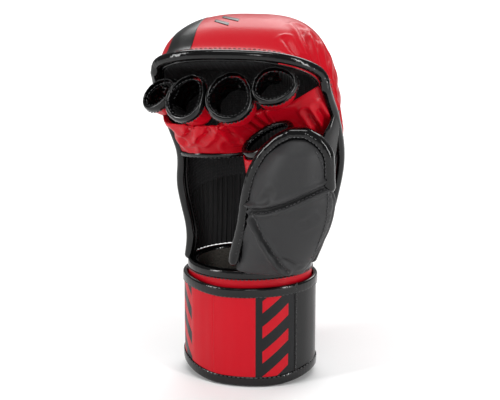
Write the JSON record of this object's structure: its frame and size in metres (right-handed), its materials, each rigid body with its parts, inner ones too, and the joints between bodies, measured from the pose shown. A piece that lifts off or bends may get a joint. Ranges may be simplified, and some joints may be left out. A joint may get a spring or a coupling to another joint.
{
  "type": "mma sparring glove",
  "caption": "Right-hand padded sparring glove for mixed martial arts: curled knuckle pad, open palm, finger stalls, padded thumb, wrap-around wrist strap.",
  "frame": {"origin": "centre of the wrist opening, in the plane on which the cuff's lower rim stands", "axes": "+Z from the wrist to the knuckles, palm faces -Y, thumb at +X"},
  "size_m": [0.1437, 0.1319, 0.271],
  "materials": {
    "red_leather": "smooth red leather with a low sheen",
    "black_leather": "smooth black leather",
    "grey_leather": "matt charcoal leather",
    "binding": "glossy black patent tape",
    "ribbed_knit": "black ribbed knit lining",
    "mesh_knit": "black open mesh knit",
    "terry": "grey brown terry",
    "foam": "closed-cell foam",
    "hook_loop": "hook and loop"
  },
  "bodies": {
    "hand": {"wrist_lining": "terry", "cuff_padding": "foam", "cuff_shell": "red_leather", "cuff_top_binding": "binding", "cuff_bottom_binding": "binding", "loop_patch": "hook_loop", "strap_striped_panel": "red_leather", "strap_striped_binding": "binding", "side_panel": "black_leather", "side_panel_binding": "binding", "back_lining_ribbed": "ribbed_knit", "knuckle_lining_mesh": "mesh_knit", "back_pad_foam": "foam", "back_pad_shell": "red_leather", "accent_panel": "black_leather", "pad_edge_piping": "binding", "palm_band": "red_leather", "palm_band_piping": "binding", "index_side_gusset": "red_leather"},
    "strap_front": {"strap_front_panel": "red_leather", "strap_front_binding": "binding"},
    "strap_side": {"strap_side_panel": "black_leather", "strap_side_binding": "binding"},
    "strap_tab": {"strap_tab_panel": "black_leather", "strap_tab_binding": "binding", "hook_patch": "hook_loop"},
    "thumb": {"thumb_pad_shell": "grey_leather", "thumb_back_panel": "grey_leather", "thumb_pad_foam": "foam", "thumb_pad_binding": "binding", "thumb_inner_panel": "red_leather", "thumb_lining": "ribbed_knit", "thumb_mouth_binding": "binding"},
    "little_stall": {"little_stall_leather": "red_leather", "little_stall_lining": "mesh_knit", "little_stall_binding": "binding"},
    "ring_stall": {"ring_stall_leather": "red_leather", "ring_stall_lining": "mesh_knit", "ring_stall_binding": "binding"},
    "middle_stall": {"middle_stall_leather": "red_leather", "middle_stall_lining": "mesh_knit", "middle_stall_binding": "binding"},
    "index_stall": {"index_stall_leather": "red_leather", "index_stall_lining": "mesh_knit", "index_stall_binding": "binding"}
  },
  "joints": [
    {"name": "strap_peel", "type": "hinge", "parent": "strap_side", "child": "strap_tab", "pos_m": [-0.04618, 0.01773, 0.04], "axis": [0, 0, 1], "range_deg": [0, 60]},
    {"name": "strap_side_fold", "type": "hinge", "parent": "strap_front", "child": "strap_side", "pos_m": [-0.04499, -0.01969, 0.04], "axis": [0, 0, 1], "range_deg": [0, 60]},
    {"name": "strap_front_fold", "type": "hinge", "parent": "hand", "child": "strap_front", "pos_m": [0.01276, -0.04061, 0.04], "axis": [0, 0, 1], "range_deg": [0, 45]},
    {"name": "thumb_flex", "type": "hinge", "parent": "hand", "child": "thumb", "pos_m": [0.024, -0.04, 0.092], "axis": [1, 0, 0], "range_deg": [0, 15], "stiffness_Nm_per_rad": 0.6},
    {"name": "little_stall_flex", "type": "hinge", "parent": "hand", "child": "little_stall", "pos_m": [-0.04651, -0.02985, 0.21026], "axis": [0.8752, -0.4837, 0], "range_deg": [0, 8], "stiffness_Nm_per_rad": 0.15},
    {"name": "ring_stall_flex", "type": "hinge", "parent": "hand", "child": "ring_stall", "pos_m": [-0.02592, -0.03812, 0.21751], "axis": [0.9563, -0.2925, 0], "range_deg": [0, 10], "stiffness_Nm_per_rad": 0.15},
    {"name": "middle_stall_flex", "type": "hinge", "parent": "hand", "child": "middle_stall", "pos_m": [-0.00008, -0.03913, 0.21868], "axis": [0.9977, -0.068, 0], "range_deg": [0, 10], "stiffness_Nm_per_rad": 0.15},
    {"name": "index_stall_flex", "type": "hinge", "parent": "hand", "child": "index_stall", "pos_m": [0.02709, -0.03606, 0.22582], "axis": [0.9959, 0.0905, 0], "range_deg": [0, 10], "stiffness_Nm_per_rad": 0.15}
  ],
  "couplings": [
    {"joint": "strap_side_fold", "follows": "strap_peel", "ratio": 1},
    {"joint": "strap_front_fold", "follows": "strap_peel", "ratio": 0.75}
  ]
}
